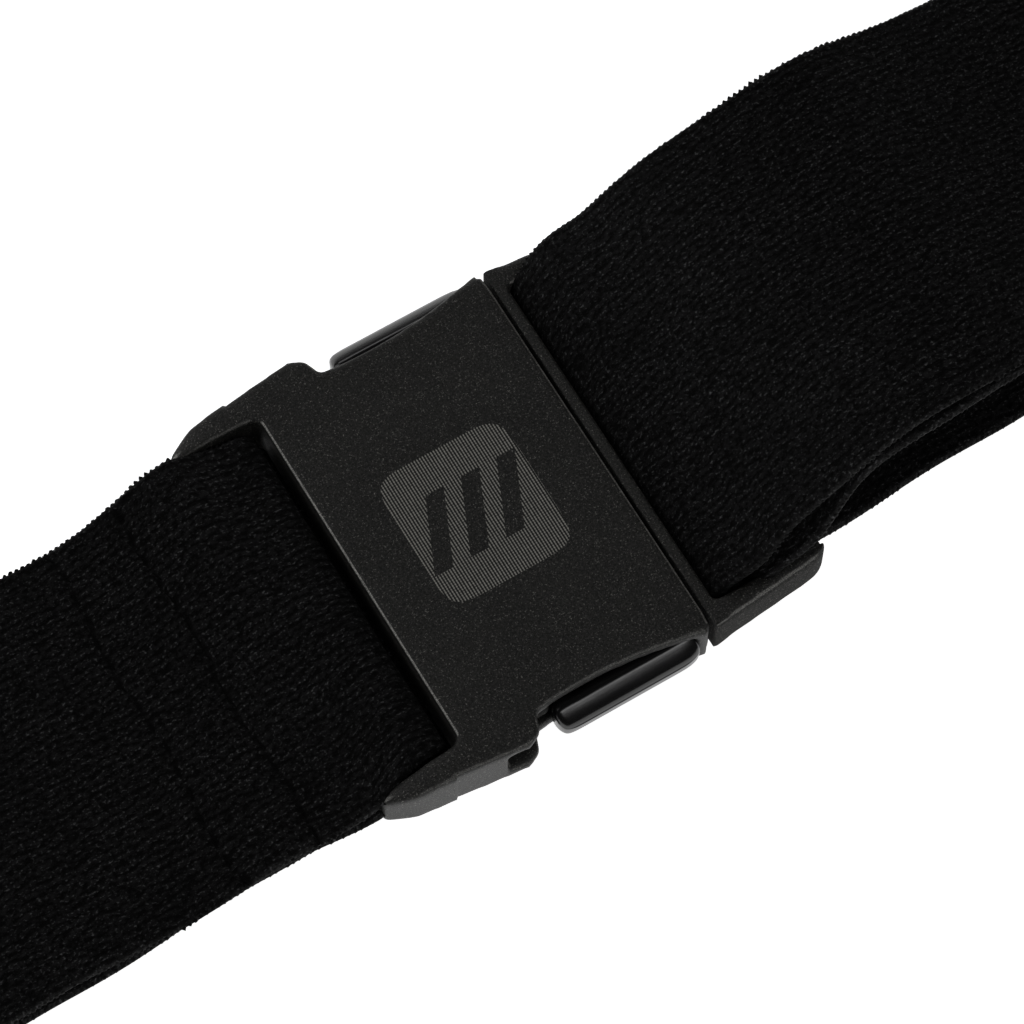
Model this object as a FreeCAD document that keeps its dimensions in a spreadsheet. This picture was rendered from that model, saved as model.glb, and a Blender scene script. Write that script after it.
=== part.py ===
# Money belt: an elastic loop with a side-release buckle, lying flattened with the buckle up.
# +X runs along the belt from the socket to the plug, +Y across it, +Z up.
# The origin is on the surface that the belt lies on, under the middle of the buckle's plate.
import FreeCAD, Part
import math
import os
import re
import Sketcher

V = FreeCAD.Vector
doc = FreeCAD.newDocument("MoneyBelt")

# ---- driving dimensions, mm ----
dimensions = {
    "loopLength": 400.0,      # flattened belt, fold to fold
    "foldHeight": 18.4,       # height of the springy fold at each end
    "strapWidth": 37.5,
    "strapThick": 1.5,
    "plyGap": 0.06,           # between plies that lie on each other
    "bodyGap": 0.3,           # between pieces that slide past each other
    "wrapGap": 0.15,          # strap to the bar it is folded round
    "slotPlay": 0.2,          # strap edge to a slot's end
    # socket
    "plateLength": 25.6,
    "cornerWall": 2.75,       # past the strap's slot at the mouth corners
    "notchWall": 1.15,        # past the slot beside the window's deep end
    "shoulderWall": 3.75,
    "notchX": 5.3,            # the deep end of the window, left of the middle
    "shoulderX": 7.4,
    "armLength": 8.6,         # past the plate's left edge
    "armTipWall": 1.95,
    "armBend": 2.6,           # from the arm's tip to where its outer side turns in
    "armBulge": 0.5,
    "cornerCut": 0.7,         # slanted corners of the notch and the arm's tip
    "slotEase": 0.6,          # slanted corners of the strap's slot
    "scallopRadius": 46.0,
    "buckleThick": 6.5,
    "shellWall": 1.3,         # top and bottom plates
    "socketBackWall": 3.3,    # between the cavity's blind end and the plate's left edge
    "bridgeWall": 1.3,        # wall that the catches hook behind
    "barRadius": 1.1,         # both web bars
    "barLap": 0.5,            # a bar's end inside the wall that holds it
    "cutPast": 1.0,           # a cut runs this far past what it cuts
    "socketBarInset": 0.85,   # strap loop to the plate's left edge
    # etched panel
    "badgeLength": 13.9,      # along the belt
    "badgeWidth": 15.0,
    "badgeCorner": 2.6,
    "badgeDepth": 0.15,
    "badgeBarWide": 2.0,
    "badgeBarLong": 7.6,
    "badgeBarStep": 3.9,
    "badgeSlant": 1.7,
    # plug
    "seam": 0.7,              # fine gap between plate and frame
    "frameLength": 13.9,
    "frameWall": 2.55,        # rail width at the front bar
    "frameEndWall": 1.35,     # rail width at the end bar
    "frontBar": 1.3,
    "endBar": 2.2,
    "endBarThick": 2.4,
    "frameTurn": 2.6,         # radius of the frame's two outer corners
    "frameTurnRun": 2.4,
    "frameTurnSide": 2.0,
    "frameTurnLap": 0.15,
    "guideLap": 0.4,          # the guides' roots inside the frame
    "guideEase": 0.6,         # slanted end of a guide beam
    "hingeWeb": 1.0,          # right end of the web that holds a prong's knuckle
    "hingeEase": 0.2,
    "seatPlay": 0.15,         # a knuckle in its seat
    "frameDrop": 0.4,         # frame top below plate top
    "beamThick": 2.2,
    "pressRoom": 4.0,         # from the mouth's side to the guide beam
    "beamTipX": 5.6,          # left of the middle
    "tongueHalf": 4.0,
    "tongueTipX": 7.0,
    "tongueNose": 1.5,
    "plugPlay": 0.25,         # plug to the inside of the socket
    # release prongs
    "prongWall": 2.95,        # prong's outer face past the strap's slot
    "catchHook": 2.3,         # how far the catch stands behind the bridging wall
    "prongThick": 2.4,
    "prongTipX": 3.3,         # left of the middle
    "prongRadius": 1.3,
    "catchPlay": 0.2,
    "catchNose": 1.4,
    "catchEase": 0.5,
    # strap route
    "wrapRun": 12.0,          # from the socket's bar to where the plies lie together
    "sewnEnd": 22.1,          # folded end, from the socket's bar
    "rowNear": 12.2,          # stitch rows, from the socket's bar
    "rowFar": 20.1,
    "rowThread": 0.5,
    "rowInset": 1.0,          # from the strap's edge
    "sewnDrop": 0.55,         # where the two sewn plies meet, below the bar's middle
    "riseStart": 64.0,        # the left run starts to rise here, left of the middle
    "riseEnd": 104.0,
    "crestX": 46.0,           # the arch right of the plug
    "crestHeight": 22.1,
    "crestRun": 9.0,          # from the crest to where the strap falls away
    "crestFall": 1.7,
    "archEnd": 66.0,
    "footOut": 0.7,           # the arch's foot, off the plug's bar
    "footRise": 2.6,
    "flankBack": 7.4,         # the steep flank, from midway between bar and crest
    "flankDrop": 7.0,
    "neckOn": 1.6,            # where the flank bends into the crest
    "neckDrop": 1.9,
    "returnGap": 1.6,         # between the two plies of the arch
    "returnSag": 0.6,         # the lower ply hangs a little slack on the flank
    "runStep": 6.0,           # between the places that keep a level run level
    "backSplit": 150.0,       # the stretch that gives when the plug is drawn out
    # length slider
    "sliderX": 112.0,
    "sliderLength": 20.0,
    "sliderRail": 2.2,
    "sliderBar": 2.2,
    "sliderThick": 1.6,
    "sliderTail": 24.0,       # sewn strap end left of the slider's middle bar
    "tailShort": 3.0,         # its lower ply ends this much sooner
    "upperEase": 8.0,
    "lowerEase": 10.0,
    # hidden pocket on the inner face
    "pocketStart": 186.0,     # left end, left of the middle
    "pocketLength": 110.0,
    "pocketMargin": 2.75,     # from the strap's edge
    "pocketThick": 1.0,
    "zipLength": 100.0,
    "tapeInner": 0.9,
    "tapeOuter": 5.0,
    "tapeThick": 0.5,
    "coilInner": 0.5,
    "coilOuter": 1.5,
    "coilThick": 1.0,
    "zipLift": 1.2,           # underside of the coils above the strap
    "zipSliderLength": 8.0,
    "zipSliderHalf": 2.6,
    "zipPlate": 0.7,
    "zipPlay": 0.2,
    "zipNose": 1.2,           # slanted corners of the zip slider
    "zipNoseIn": 0.8,
    "zipPostX": 1.5,
    "pullLength": 10.0,
    "pullHalf": 2.3,
    "pullThick": 1.0,
    "pullWaist": 2.0,         # the wide tab starts this far before the zip slider's length
    "pinRadius": 0.5,
    "lugThick": 0.6,
    "stopLength": 1.6,
}

sheet = doc.addObject("Spreadsheet::Sheet", "sizes")
for row, (name, number) in enumerate(dimensions.items(), start=1):
    sheet.set(f"A{row}", name)
    sheet.set(f"B{row}", str(number))
    sheet.setAlias(f"B{row}", name)

# ---- places worked out from them ----
derived = {
    "plateHalf": "plateLength / 2",
    "buckleFloor": "strapThick + bodyGap",
    "plateTop": "buckleFloor + buckleThick",
    "cavityFloor": "buckleFloor + shellWall",
    "cavityRoof": "plateTop - shellWall",
    "slotHalf": "strapWidth / 2 + slotPlay",
    "plateCornerHalf": "slotHalf + cornerWall",
    "notchHalf": "slotHalf + notchWall",
    "shoulderHalf": "slotHalf + shoulderWall",
    "armTipHalf": "slotHalf + armTipWall",
    "frameHalf": "slotHalf + frameWall",
    "frameEndHalf": "slotHalf + frameEndWall",
    "prongHalf": "slotHalf + prongWall",
    "mouthHalf": "prongHalf - catchHook",
    "beamOuter": "mouthHalf - pressRoom",
    "beamInner": "beamOuter - beamThick",
    "socketBackX": "plateHalf - socketBackWall",
    "barHeight": "(cavityFloor + cavityRoof) / 2",
    "sewnHeight": "barHeight - sewnDrop",
    "wrapInner": "barRadius + wrapGap",
    "wrapOuter": "wrapInner + strapThick",
    "socketBarX": "plateHalf + socketBarInset + wrapOuter",
    "frameStart": "plateHalf + seam",
    "frameEnd": "frameStart + frameLength",
    "frameFloor": "buckleFloor + frameDrop",
    "frameTop": "plateTop - frameDrop",
    "plugBarX": "frameStart + frontBar + wrapGap + wrapOuter",
    "plugFloor": "cavityFloor + plugPlay",
    "plugRoof": "cavityRoof - plugPlay",
    "bridgeX": "plateHalf - bridgeWall",
    "knuckleX": "prongRadius - prongTipX",
    "knuckleY": "prongHalf - prongRadius",
    "foldEnd": "loopLength / 2",
    "foldRadius": "foldHeight / 2",
    "foldX": "foldEnd - foldRadius",
    "frontMid": "foldHeight - strapThick / 2",
    "returnMid": "foldHeight - strapThick * 1.5 - bodyGap",
    "railHalf": "slotHalf + sliderRail",
    "sliderBarTop": "returnMid - strapThick / 2 - wrapGap",
    "sliderBarZ": "sliderBarTop - sliderThick / 2",
    "pocketHalf": "strapWidth / 2 - pocketMargin",
    "coilFloor": "strapThick + zipLift",
    "coilTop": "coilFloor + coilThick",
    "zipMid": "(coilFloor + coilTop) / 2",
    "zipStart": "(pocketLength - zipLength) / 2 - pocketStart",
    "zipX": "zipStart + stopLength + zipPlay",
    "zipRoof": "coilTop + zipPlay + zipPlate",
    "pinZ": "zipRoof + zipPlay + pinRadius * 2 + zipPlay",
    "pinX": "zipX + zipSliderLength / 4",
}
for row, (name, rule) in enumerate(derived.items(), start=len(dimensions) + 2):
    sheet.set(f"A{row}", name)
    sheet.set(f"B{row}", "=" + rule)
    sheet.setAlias(f"B{row}", name)
doc.recompute()
names = sorted([*dimensions, *derived], key=len, reverse=True)
known = re.compile(r"\b(" + "|".join(names) + r")\b")


def bound(rule):
    """The rule with each dimension's name pointing at its cell."""
    return known.sub(r"sizes.\1", rule)


def value(rule):
    """The rule's present value."""
    found = sheet.evalExpression(known.sub(r"\1", rule))
    return float(getattr(found, "Value", found))


# ---- helpers for sketches, bodies and primitives ----
def newBody(label):
    body = doc.addObject("PartDesign::Body", label)
    body.Label = label
    return body


def sketchOn(body, name, plane, loops, lift="0"):
    """A sketch of closed loops. A corner is (x, y); an arc to the next corner adds its radius."""
    sketch = body.newObject("Sketcher::SketchObject", name)
    origin = [f for f in body.Origin.OriginFeatures if f.Role == plane][0]
    sketch.AttachmentSupport = [(origin, "")]
    sketch.MapMode = "FlatFace"
    sketch.setExpression(".AttachmentOffset.Base.z", bound(lift))
    for loop in loops:
        spots = [V(value(corner[0]), value(corner[1]), 0) for corner in loop]
        first = None
        for n, corner in enumerate(loop):
            a, b = spots[n], spots[(n + 1) % len(loop)]
            if len(corner) == 2:
                edge = sketch.addGeometry(Part.LineSegment(a, b), False)
            else:
                radius = value(corner[2])
                chord = b - a
                sag = radius - math.sqrt(radius**2 - (chord.Length / 2) ** 2)
                side = V(-chord.y, chord.x, 0).normalize() * sag * corner[3]
                edge = sketch.addGeometry(Part.Arc(a, (a + b) / 2 + side, b), False)
            first = edge if first is None else first
        ends = [sketchEnds(sketch, first + n, spots[n]) for n in range(len(loop))]
        for n, corner in enumerate(loop):
            after = (n + 1) % len(loop)
            sketch.addConstraint(Sketcher.Constraint(
                "Coincident", first + n, ends[n][1], first + after, ends[after][0]))
            for axis, rule, place in (("DistanceX", corner[0], spots[n].x),
                                      ("DistanceY", corner[1], spots[n].y)):
                index = sketch.addConstraint(Sketcher.Constraint(
                    axis, -1, 1, first + n, ends[n][0], place))
                sketch.setExpression(f"Constraints[{index}]", bound(rule))
            if len(corner) > 2:
                index = sketch.addConstraint(Sketcher.Constraint(
                    "Radius", first + n, value(corner[2])))
                sketch.setExpression(f"Constraints[{index}]", bound(corner[2]))
    return sketch


def sketchEnds(sketch, edge, start):
    """Which vertex of an edge is its start and which its end, as an arc may run either way."""
    near = sketch.getPoint(edge, 1).distanceToPoint(start) < 1e-6
    return (1, 2) if near else (2, 1)


def pad(body, name, sketch, length):
    feature = body.newObject("PartDesign::Pad", name)
    feature.Profile = sketch
    feature.setExpression("Length", bound(length))
    doc.recompute()
    return feature


def cut(body, name, sketch, depth):
    """A pocket that must remove material."""
    before = body.Shape.Volume
    feature = body.newObject("PartDesign::Pocket", name)
    feature.Profile = sketch
    feature.setExpression("Length", bound(depth))
    doc.recompute()
    if not body.Shape.Volume < before - 1e-4:
        raise RuntimeError(f"{body.Label}: {name} cuts nothing")
    return feature


def primitive(body, kind, name, sizes, place, turn=None):
    feature = body.newObject("PartDesign::" + kind, name)
    for prop, rule in sizes.items():
        feature.setExpression(prop, bound(rule))
    for axis, rule in zip("xyz", place):
        feature.setExpression(f".AttachmentOffset.Base.{axis}", bound(rule))
    origin = [f for f in body.Origin.OriginFeatures if f.Role == "XY_Plane"][0]
    feature.AttachmentSupport = [(origin, "")]
    feature.MapMode = "FlatFace"
    if turn:
        offset = feature.AttachmentOffset
        offset.Rotation = FreeCAD.Rotation(*turn)
        feature.AttachmentOffset = offset
    doc.recompute()
    return feature


def box(label, xRange, yRange, zRange):
    """A plain block between named places."""
    block = doc.addObject("Part::Box", label)
    block.Label = label
    for prop, axis, (low, high) in (("Length", "x", xRange), ("Width", "y", yRange),
                                    ("Height", "z", zRange)):
        block.setExpression(prop, bound(f"({high}) - ({low})"))
        block.setExpression(f"Placement.Base.{axis}", bound(low))
    return block


def ribbon(label, upper, lower, halfWidth):
    """A strap whose two faces follow curves in the XZ plane, as wide as twice halfWidth."""
    corners = [edge.valueAt(spot) for edge in (upper, lower)
               for spot in (edge.FirstParameter, edge.LastParameter)]
    ends = [Part.makeLine(corners[0], corners[2]), Part.makeLine(corners[1], corners[3])]
    face = Part.Face(Part.Wire(Part.__sortEdges__([upper, ends[1], lower, ends[0]])))
    solid = face.extrude(V(0, 2 * halfWidth, 0))
    solid.translate(V(0, -halfWidth, 0))
    strap = doc.addObject("Part::Feature", label)
    strap.Label = label
    strap.Shape = solid
    return strap


def route(points, thick, startWay, endWay):
    """The two faces of a strap whose middle passes through the points and leaves both ends squarely."""
    middle = smoothThrough([V(x, 0, z) for x, z in points], startWay, endWay)
    samples = 2 * len(points) + round(middle.length() / 2)
    faces = []
    for side in (0.5, -0.5):
        offsets = []
        for n in range(samples + 1):
            spot = middle.FirstParameter + n / samples * (middle.LastParameter - middle.FirstParameter)
            along = middle.tangent(spot)[0]
            across = V(-along.z, 0, along.x).normalize()
            offsets.append(middle.value(spot) + across * side * thick)
        faces.append(smoothThrough(offsets, startWay, endWay).toShape().Edges[0])
    return faces


def smoothThrough(places, startWay, endWay):
    """A curve through the places, paced by the distance between them so that it never overshoots."""
    pace = [0.0]
    for a, b in zip(places, places[1:]):
        pace.append(pace[-1] + a.distanceToPoint(b))
    curve = Part.BSplineCurve()
    curve.interpolate(Points=places, Parameters=pace, InitialTangent=startWay,
                      FinalTangent=endWay, Scale=False)
    return curve


def easedRun(start, end, steps=8):
    """Points of a smooth step from one height to another."""
    points = []
    for n in range(steps + 1):
        t = n / steps
        ease = t * t * (3 - 2 * t)
        points.append((start[0] + (end[0] - start[0]) * t, start[1] + (end[1] - start[1]) * ease))
    return points


def levelRun(start, end, height):
    """Points of a level stretch, after its start, close enough together to stay level."""
    count = max(1, round(abs(end - start) / dimensions["runStep"]))
    return [(start + (end - start) * n / count, height) for n in range(1, count + 1)]


# ---- buckle socket ----
def mirroredLoop(half):
    """The half outline, then its mirror image across the X axis."""
    other = []
    for n in range(len(half) - 1, -1, -1):
        arc = half[n - 1][2:] if n > 0 else ()
        other.append((half[n][0], f"-({half[n][1]})", *arc))
    return [*half[:-1], half[-1][:2], *other[:-1], other[-1][:2]]


socket = newBody("buckle_socket")
socketHalf = [
    ("plateHalf", "plateCornerHalf", "scallopRadius", 1),
    ("-notchX", "notchHalf"),
    ("-notchX - cornerCut", "shoulderHalf - cornerCut"),
    ("-shoulderX", "shoulderHalf"),
    ("-plateHalf - armLength + armBend", "armTipHalf + armBulge"),
    ("-plateHalf - armLength", "armTipHalf - cornerCut"),
    ("-plateHalf - armLength", "slotHalf + armBulge"),
    ("-plateHalf - slotEase", "slotHalf"),
    ("-plateHalf", "slotHalf - slotEase"),
]
outline = sketchOn(socket, "SocketOutline", "XY_Plane", [mirroredLoop(socketHalf)], "buckleFloor")
pad(socket, "SocketBlock", outline, "buckleThick")
primitive(socket, "AdditiveCylinder", "SocketWebBar",
          {"Radius": "barRadius", "Height": "(slotHalf + barLap) * 2"},
          ("-socketBarX", "slotHalf + barLap", "barHeight"), (V(1, 0, 0), 90))
primitive(socket, "SubtractiveBox", "SocketCavity",
          {"Length": "plateHalf + socketBackX", "Width": "mouthHalf * 2",
           "Height": "cavityRoof - cavityFloor"},
          ("-socketBackX", "-mouthHalf", "cavityFloor"))
primitive(socket, "SubtractiveBox", "SocketWindows",
          {"Length": "bridgeX + socketBackX", "Width": "(shoulderHalf + cutPast) * 2",
           "Height": "cavityRoof - cavityFloor"},
          ("-socketBackX", "-shoulderHalf - cutPast", "cavityFloor"))


def badgeLoops():
    """The etched panel with round corners, less three slanted bars."""
    long, wide, turn = "badgeLength / 2", "badgeWidth / 2", "badgeCorner"
    panel = [
        (long, f"-{wide} + {turn}"), (long, f"{wide} - {turn}", turn, -1),
        (f"{long} - {turn}", wide), (f"-{long} + {turn}", wide, turn, -1),
        (f"-{long}", f"{wide} - {turn}"), (f"-{long}", f"-{wide} + {turn}", turn, -1),
        (f"-{long} + {turn}", f"-{wide}"), (f"{long} - {turn}", f"-{wide}", turn, -1),
    ]
    bars = []
    for n in (-1, 0, 1):
        left, right = f"{n} * badgeBarStep - badgeBarWide / 2", f"{n} * badgeBarStep + badgeBarWide / 2"
        bars.append([
            (f"{left} - badgeSlant", "-badgeBarLong / 2"), (f"{right} - badgeSlant", "-badgeBarLong / 2"),
            (f"{right} + badgeSlant", "badgeBarLong / 2"), (f"{left} + badgeSlant", "badgeBarLong / 2"),
        ])
    return [panel, *bars]


badge = sketchOn(socket, "EtchedPanel", "XY_Plane", badgeLoops(), "plateTop")
cut(socket, "PanelRecess", badge, "badgeDepth")

# ---- buckle plug ----
plug = newBody("buckle_plug")
frame = sketchOn(plug, "FrameOutline", "XY_Plane", [[
    ("frameStart", "-frameHalf"),
    ("frameEnd - frameTurnRun", "-frameEndHalf - frameTurnLap", "frameTurn", -1),
    ("frameEnd", "-frameEndHalf + frameTurnSide"),
    ("frameEnd", "frameEndHalf - frameTurnSide", "frameTurn", -1),
    ("frameEnd - frameTurnRun", "frameEndHalf + frameTurnLap"), ("frameStart", "frameHalf"),
]], "frameFloor")
pad(plug, "FrameBlock", frame, "frameTop - frameFloor")
primitive(plug, "SubtractiveBox", "FrameSlots",
          {"Length": "frameLength - frontBar - endBar", "Width": "slotHalf * 2",
           "Height": "frameTop - frameFloor + cutPast * 2"},
          ("frameStart + frontBar", "-slotHalf", "frameFloor - cutPast"))
primitive(plug, "SubtractiveBox", "EndBarStep",
          {"Length": "endBar + cutPast", "Width": "slotHalf * 2", "Height": "buckleThick"},
          ("frameEnd - endBar", "-slotHalf", "frameFloor + endBarThick"))
primitive(plug, "AdditiveCylinder", "PlugWebBar",
          {"Radius": "barRadius", "Height": "(slotHalf + barLap) * 2"},
          ("plugBarX", "slotHalf + barLap", "barHeight"), (V(1, 0, 0), 90))
inner = []
for side in ("", "-"):
    corners = [
        ("frameStart + guideLap", f"{side}(beamOuter)"), ("-prongTipX + hingeWeb", f"{side}(beamOuter)"),
        ("-prongTipX", f"{side}(knuckleY - prongRadius - hingeEase)"),
        ("-prongTipX - hingeEase", f"{side}(mouthHalf - plugPlay)"),
        ("-beamTipX + guideEase", f"{side}(mouthHalf - plugPlay)"), ("-beamTipX", f"{side}(beamOuter)"),
        ("-beamTipX", f"{side}(beamInner)"), ("frameStart + guideLap", f"{side}(beamInner)"),
    ]
    inner.append(corners)
inner.append([
    ("frameStart + guideLap", "-tongueHalf"), ("frameStart + guideLap", "tongueHalf"),
    ("-tongueTipX + tongueNose", "tongueHalf"), ("-tongueTipX", "tongueHalf - tongueNose"),
    ("-tongueTipX", "-tongueHalf + tongueNose"), ("-tongueTipX + tongueNose", "-tongueHalf"),
])
for n, loop in enumerate(inner):
    profile = sketchOn(plug, f"Guide{n}", "XY_Plane", [loop], "plugFloor")
    pad(plug, f"GuideBar{n}", profile, "plugRoof - plugFloor")
for side, sign in (("Left", ""), ("Right", "-")):
    primitive(plug, "SubtractiveCylinder", f"{side}KnuckleSeat",
              {"Radius": "prongRadius + seatPlay", "Height": "buckleThick"},
              ("knuckleX", f"{sign}knuckleY", "buckleFloor"))

# ---- release prongs, each hinged at its tip beside the guide beam ----
for side, sign in (("left", ""), ("right", "-")):
    prong = newBody(f"release_prong_{side}")
    bar = sketchOn(prong, f"ProngOutline{side.title()}", "XY_Plane", [[
        ("knuckleX", f"{sign}prongHalf"), ("bridgeX - catchPlay - catchNose", f"{sign}prongHalf"),
        ("bridgeX - catchPlay", f"{sign}(prongHalf - catchEase)"),
        ("bridgeX - catchPlay", f"{sign}(prongHalf - prongThick)"),
        ("knuckleX", f"{sign}(prongHalf - prongRadius * 1.8)"),
    ]], "plugFloor")
    pad(prong, f"ProngBar{side.title()}", bar, "plugRoof - plugFloor")
    primitive(prong, "AdditiveCylinder", f"Knuckle{side.title()}",
              {"Radius": "prongRadius", "Height": "plugRoof - plugFloor"},
              ("knuckleX", f"{sign}knuckleY", "plugFloor"))

# ---- the strap, cut into the stretches that fold, lie flat or move ----
size = {name: value(name) for name in [*dimensions, *derived]}
halfWide = size["strapWidth"] / 2
thick = size["strapThick"]
backMid = thick / 2


def wrap(label, centreX, centreZ, startAngle, endAngle, inner, outer):
    """A strap bent round a bar along Y, between two angles in degrees."""
    turns = [math.radians(a) for a in (startAngle, (startAngle + endAngle) / 2, endAngle)]
    arcs = [Part.Arc(*[V(centreX + radius * math.cos(a), 0, centreZ + radius * math.sin(a))
                       for a in turns]) for radius in (outer, inner)]
    return ribbon(label, arcs[0].toShape().Edges[0], arcs[1].toShape().Edges[0], halfWide)


def strapRun(label, points, startWay, endWay):
    upper, lower = route(points, thick, startWay, endWay)
    return ribbon(label, upper, lower, halfWide)


leftwards, rightwards, upwards = V(-1, 0, 0), V(1, 0, 0), V(0, 0, 1)


# socket side: one strap folded round the web bar and sewn back on itself
wrapMid = (size["wrapInner"] + size["wrapOuter"]) / 2
upperMid = size["sewnHeight"] + size["plyGap"] / 2 + thick / 2
lowerMid = size["sewnHeight"] - size["plyGap"] / 2 - thick / 2
barX = -size["socketBarX"]
flatX = barX - size["wrapRun"]
wrap("socket_strap_loop", barX, size["barHeight"], -90, 90, size["wrapInner"], size["wrapOuter"])
sewn = easedRun((barX, size["barHeight"] - wrapMid), (flatX, lowerMid))
strapRun("sewn_strap_end", [*sewn, *levelRun(flatX, barX - size["sewnEnd"], lowerMid)],
         leftwards, leftwards)
front = easedRun((barX, size["barHeight"] + wrapMid), (flatX, upperMid))
rise = easedRun((-size["riseStart"], upperMid), (-size["riseEnd"], size["frontMid"]))
strapRun("front_strap_left", [*front, *levelRun(flatX, -size["riseStart"], upperMid)],
         leftwards, leftwards)
strapRun("left_strap_rise", rise, leftwards, leftwards)
box("left_upper_run", ("-foldX", "-riseEnd"), ("-strapWidth / 2", "strapWidth / 2"),
    ("foldHeight - strapThick", "foldHeight"))
foldInner = size["foldRadius"] - thick
wrap("left_fold", -size["foldX"], size["foldRadius"], 90, 270, foldInner, size["foldRadius"])
box("back_strap", ("-foldX", "backSplit"), ("-strapWidth / 2", "strapWidth / 2"), ("0", "strapThick"))

# plug side: down through the first slot, under the web bar and up through the second
plugX = size["plugBarX"]
crest = size["crestHeight"] - thick / 2
midway = (plugX + size["crestX"]) / 2
arch = [
    (plugX - wrapMid, size["barHeight"]),
    (plugX - wrapMid + size["footOut"], size["barHeight"] + size["footRise"]),
    (midway - size["flankBack"], crest - size["flankDrop"]),
    (midway + size["neckOn"], crest - size["neckDrop"]),
    (size["crestX"], crest),
    (size["crestX"] + size["crestRun"], crest - size["crestFall"]),
    (size["archEnd"], size["frontMid"]),
]
wrap("plug_strap_loop", plugX, size["barHeight"], 180, 360, size["wrapInner"], size["wrapOuter"])
strapRun("arch_rise", arch[:5], upwards, rightwards)
strapRun("arch_fall", arch[4:], rightwards, rightwards)
box("right_upper_run", ("archEnd", "foldX"), ("-strapWidth / 2", "strapWidth / 2"),
    ("foldHeight - strapThick", "foldHeight"))
drop = size["returnGap"] + thick
returnEnd = size["sliderX"] - size["sliderTail"] - size["bodyGap"]
under = [
    (plugX + wrapMid, size["barHeight"]),
    (plugX + wrapMid + size["footOut"], size["barHeight"] + size["footRise"]),
    (arch[2][0] + size["returnSag"], arch[2][1] - drop - size["returnSag"]),
    (arch[3][0], arch[3][1] - drop),
    (arch[4][0], arch[4][1] - drop),
    (arch[5][0], arch[5][1] - drop),
    (arch[6][0], size["returnMid"]),
]
strapRun("return_strap", [*under, *levelRun(size["archEnd"], returnEnd, size["returnMid"])],
         upwards, rightwards)
wrap("right_fold", size["foldX"], size["foldRadius"], -90, 90, foldInner, size["foldRadius"])
box("back_strap_end", ("backSplit + bodyGap", "foldX"), ("-strapWidth / 2", "strapWidth / 2"),
    ("0", "strapThick"))

# two rows of stitches through the sewn plies
rows = []
for n, place in enumerate(("rowNear", "rowFar")):
    rows.append(box(f"stitch_row_{n}", (f"-socketBarX - {place} - rowThread / 2",
                                        f"-socketBarX - {place} + rowThread / 2"),
                    ("-strapWidth / 2 + rowInset", "strapWidth / 2 - rowInset"),
                    ("sewnHeight + plyGap + strapThick", "sewnHeight + strapThick + rowThread / 2")))

# ---- length slider on the doubled part of the strap ----
slider = newBody("length_slider")
plan = sketchOn(slider, "SliderPlan", "XY_Plane", [[
    ("sliderX - sliderLength / 2", "-railHalf"), ("sliderX + sliderLength / 2", "-railHalf"),
    ("sliderX + sliderLength / 2", "railHalf"), ("sliderX - sliderLength / 2", "railHalf"),
]], "sliderBarTop - sliderThick")
pad(slider, "SliderBlock", plan, "foldHeight + bodyGap + sliderThick * 2 - sliderBarTop")
primitive(slider, "SubtractiveBox", "SliderPassage",
          {"Length": "sliderLength + cutPast * 2", "Width": "slotHalf * 2",
           "Height": "foldHeight + bodyGap - sliderBarTop + sliderThick + cutPast"},
          ("sliderX - sliderLength / 2 - cutPast", "-slotHalf", "sliderBarTop - sliderThick - cutPast"))
primitive(slider, "SubtractiveBox", "SliderSlots",
          {"Length": "sliderLength - sliderBar * 2", "Width": "slotHalf * 2", "Height": "buckleThick"},
          ("sliderX - sliderLength / 2 + sliderBar", "-slotHalf", "foldHeight"))
primitive(slider, "AdditiveCylinder", "SliderWebBar",
          {"Radius": "sliderThick / 2", "Height": "(slotHalf + barLap) * 2"},
          ("sliderX", "slotHalf + barLap", "sliderBarZ"), (V(1, 0, 0), 90))
sliderX, sliderZ = size["sliderX"], size["sliderBarZ"]
loopInner = size["sliderThick"] / 2 + size["wrapGap"]
loopMid = loopInner + thick / 2
wrap("slider_strap_loop", sliderX, sliderZ, -90, 90, loopInner, loopInner + thick)
tail = sliderX - size["sliderTail"]
topX, lowX = sliderX - size["upperEase"], sliderX - size["lowerEase"]
topTail = easedRun((sliderX, sliderZ + loopMid), (topX, size["returnMid"]), 3)
strapRun("slider_strap_upper", [*topTail, *levelRun(topX, tail, size["returnMid"])],
         leftwards, leftwards)
tailLow = size["returnMid"] - thick - size["bodyGap"]
lowTail = easedRun((sliderX, sliderZ - loopMid), (lowX, tailLow), 5)
strapRun("slider_strap_lower", [*lowTail, *levelRun(lowX, tail + size["tailShort"], tailLow)],
         leftwards, leftwards)

# ---- hidden pocket on the inner face ----
pocket = ("-pocketStart", "pocketLength - pocketStart")
zipRange = ("zipStart", "zipStart + zipLength")
for side, sign in (("left", 1), ("right", -1)):
    def across(inner, outer):
        return (inner, outer) if sign > 0 else (f"-({outer})", f"-({inner})")
    box(f"pocket_panel_{side}", pocket, across("tapeOuter + plyGap", "pocketHalf"),
        ("strapThick + plyGap", "strapThick + plyGap + pocketThick"))
    box(f"zip_tape_{side}", zipRange, across("coilOuter + plyGap", "tapeOuter"),
        ("zipMid - tapeThick / 2", "zipMid + tapeThick / 2"))
    box(f"zip_coil_{side}", ("zipX", "zipStart + zipLength - stopLength - zipPlay"),
        across("coilInner", "coilOuter"), ("coilFloor", "coilTop"))
box("zip_stop_left", ("zipStart", "zipStart + stopLength"), ("-coilOuter", "coilOuter"),
    ("coilFloor", "coilTop"))
box("zip_stop_right", ("zipStart + zipLength - stopLength", "zipStart + zipLength"),
    ("-coilOuter", "coilOuter"), ("coilFloor", "coilTop"))

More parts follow.
